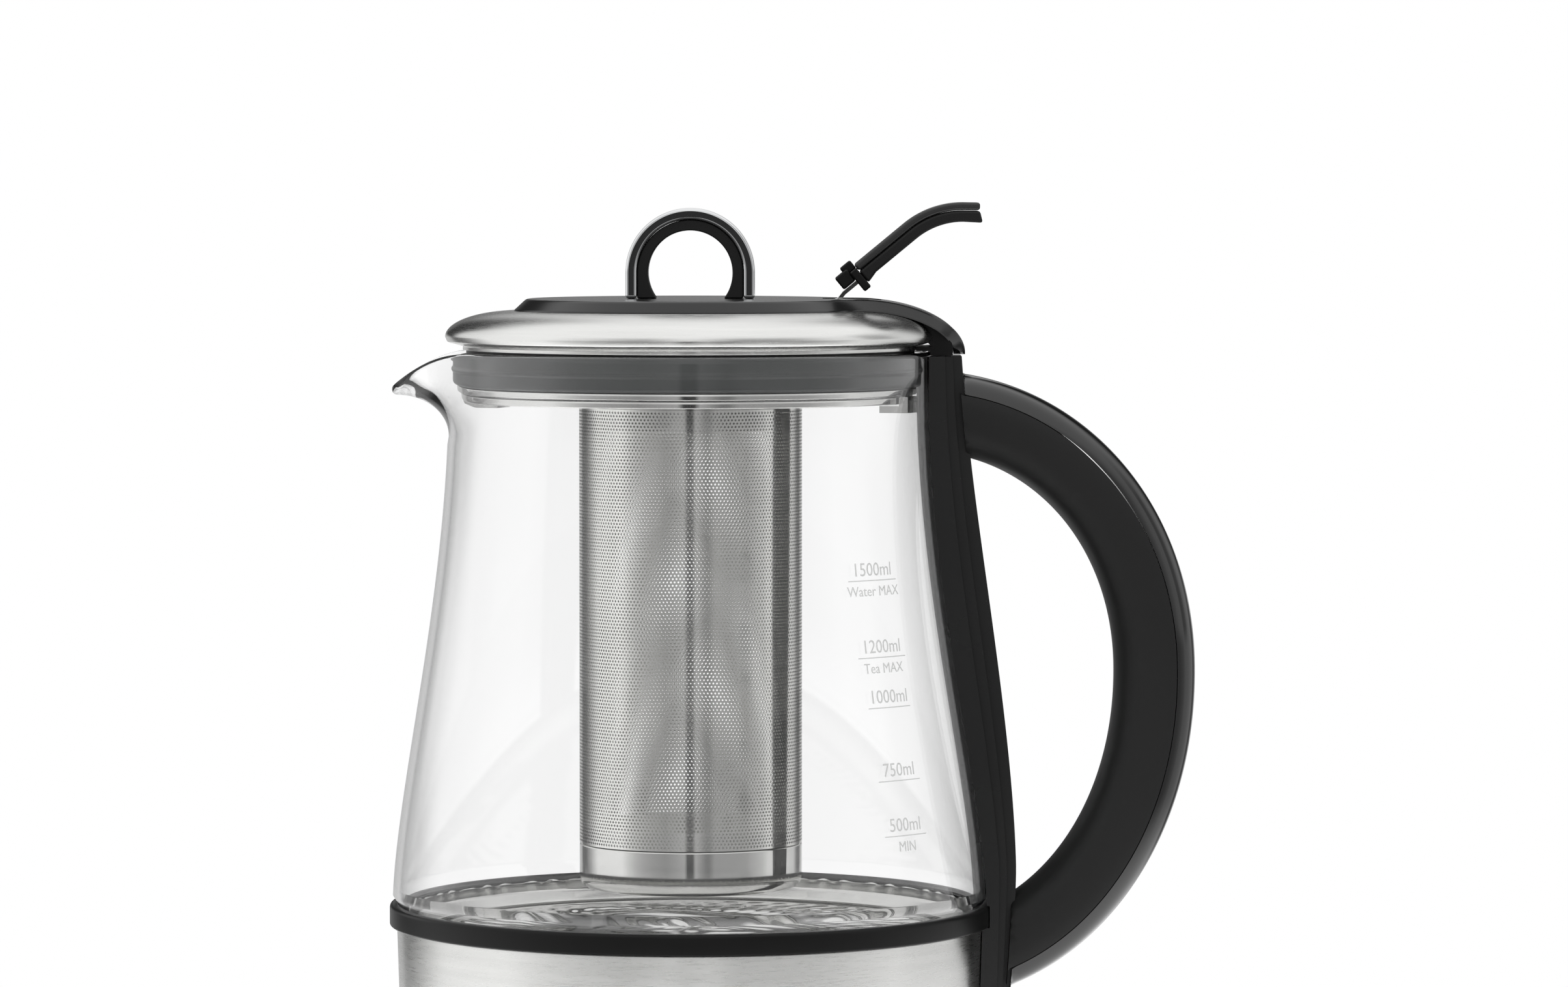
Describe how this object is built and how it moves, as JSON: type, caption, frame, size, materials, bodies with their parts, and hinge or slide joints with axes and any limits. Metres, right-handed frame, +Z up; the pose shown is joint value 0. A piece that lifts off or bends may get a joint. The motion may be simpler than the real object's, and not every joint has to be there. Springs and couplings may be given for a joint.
{
  "type": "automatic tea maker",
  "caption": "Glass tea jug with a steel heating foot, C handle, lift-off lid with loop knob and folding lever, hanging perforated tea basket, and a power base with sloped controls.",
  "frame": {"origin": "on the jug's axis at table level, in the plane of the rubber foot ring's underside", "axes": "+Z up along the jug's axis, +X towards the handle, -X towards the pouring lip, -Y towards the control deck"},
  "size_m": [0.2118, 0.194, 0.2584],
  "materials": {
    "black_satin": "satin moulded",
    "black_matte": "fine matt moulded",
    "black_gloss": "glossy",
    "key_grey": "satin moulded",
    "brushed_steel": "brushed",
    "polished_steel": "polished",
    "bright_chrome": "bright",
    "jug_glass": "clear",
    "window_glass": "glossy",
    "rubber_black": "matt",
    "silicone_grey": "soft matt",
    "silicone_clear": "soft matt",
    "aluminium": "cast",
    "element_steel": "dull",
    "contact_brass": "bright",
    "screw_steel": "zinc plated",
    "board_green": "solder mask",
    "lcd_grey": "glossy",
    "ceramic_white": "matt"
  },
  "bodies": {
    "base": {"base_housing": "black_satin", "base_bottom": "black_satin", "foot_ring": "rubber_black", "front_feet": "rubber_black", "base_connector": "black_satin", "base_contacts": "contact_brass", "cord_bush": "rubber_black", "display_window": "window_glass", "display_module": "lcd_grey", "control_board": "board_green", "base_screws": "screw_steel"},
    "start_button": {"button_start": "key_grey"},
    "warm_button": {"button_warm": "key_grey"},
    "minus_button": {"button_minus": "key_grey"},
    "plus_button": {"button_plus": "key_grey"},
    "tea_button": {"button_tea": "key_grey"},
    "jug": {"bottom_cover": "black_satin", "steel_shell": "brushed_steel", "collar_ring": "black_satin", "floor_plate": "polished_steel", "heat_plate": "aluminium", "heating_element": "element_steel", "thermostat": "ceramic_white", "jug_socket": "black_satin", "jug_contacts": "contact_brass", "jug_screws": "screw_steel", "glass_seal": "silicone_clear", "glass_body": "jug_glass", "handle_column": "black_satin", "handle_grip": "black_matte", "handle_strip": "black_gloss", "handle_screws": "screw_steel"},
    "lid": {"lid_dome": "brushed_steel", "lid_plate": "black_gloss", "lid_plug": "black_satin", "lid_gasket": "silicone_grey", "plug_ring": "polished_steel", "basket_clips": "polished_steel", "lid_screws": "screw_steel", "loop_core": "black_satin", "loop_trim": "bright_chrome", "knob_screws": "screw_steel", "lever_pin": "screw_steel"},
    "lever": {"lever_arm": "polished_steel", "lever_collar": "black_satin", "lever_grip_upper": "black_gloss", "lever_grip_lower": "black_satin"},
    "basket": {"basket_rim": "polished_steel", "basket_tube": "polished_steel", "basket_cup": "polished_steel"}
  },
  "joints": [
    {"name": "jug_lift", "type": "slide", "parent": "base", "child": "jug", "axis": [0, 0, 1], "range_m": [0, 0.12]},
    {"name": "lid_lift", "type": "slide", "parent": "jug", "child": "lid", "axis": [0, 0, 1], "range_m": [0, 0.17]},
    {"name": "lever_fold", "type": "hinge", "parent": "lid", "child": "lever", "pos_m": [0.0382, 0, 0.2309], "axis": [0, 1, 0], "range_deg": [0, 30]},
    {"name": "basket_twist", "type": "hinge", "parent": "lid", "child": "basket", "pos_m": [0, 0, 0.2], "axis": [0, 0, -1], "range_deg": [0, 25]},
    {"name": "start_press", "type": "slide", "parent": "base", "child": "start_button", "axis": [0, 0.342, -0.9397], "range_m": [0, 0.001], "stiffness_N_per_m": 600, "springref_m": -0.0015},
    {"name": "warm_press", "type": "slide", "parent": "base", "child": "warm_button", "axis": [0, 0.342, -0.9397], "range_m": [0, 0.001], "stiffness_N_per_m": 600, "springref_m": -0.0015},
    {"name": "minus_press", "type": "slide", "parent": "base", "child": "minus_button", "axis": [0, 0.342, -0.9397], "range_m": [0, 0.001], "stiffness_N_per_m": 600, "springref_m": -0.0015},
    {"name": "plus_press", "type": "slide", "parent": "base", "child": "plus_button", "axis": [0, 0.342, -0.9397], "range_m": [0, 0.001], "stiffness_N_per_m": 600, "springref_m": -0.0015},
    {"name": "tea_press", "type": "slide", "parent": "base", "child": "tea_button", "axis": [0, 0.342, -0.9397], "range_m": [0, 0.001], "stiffness_N_per_m": 600, "springref_m": -0.0015}
  ]
}
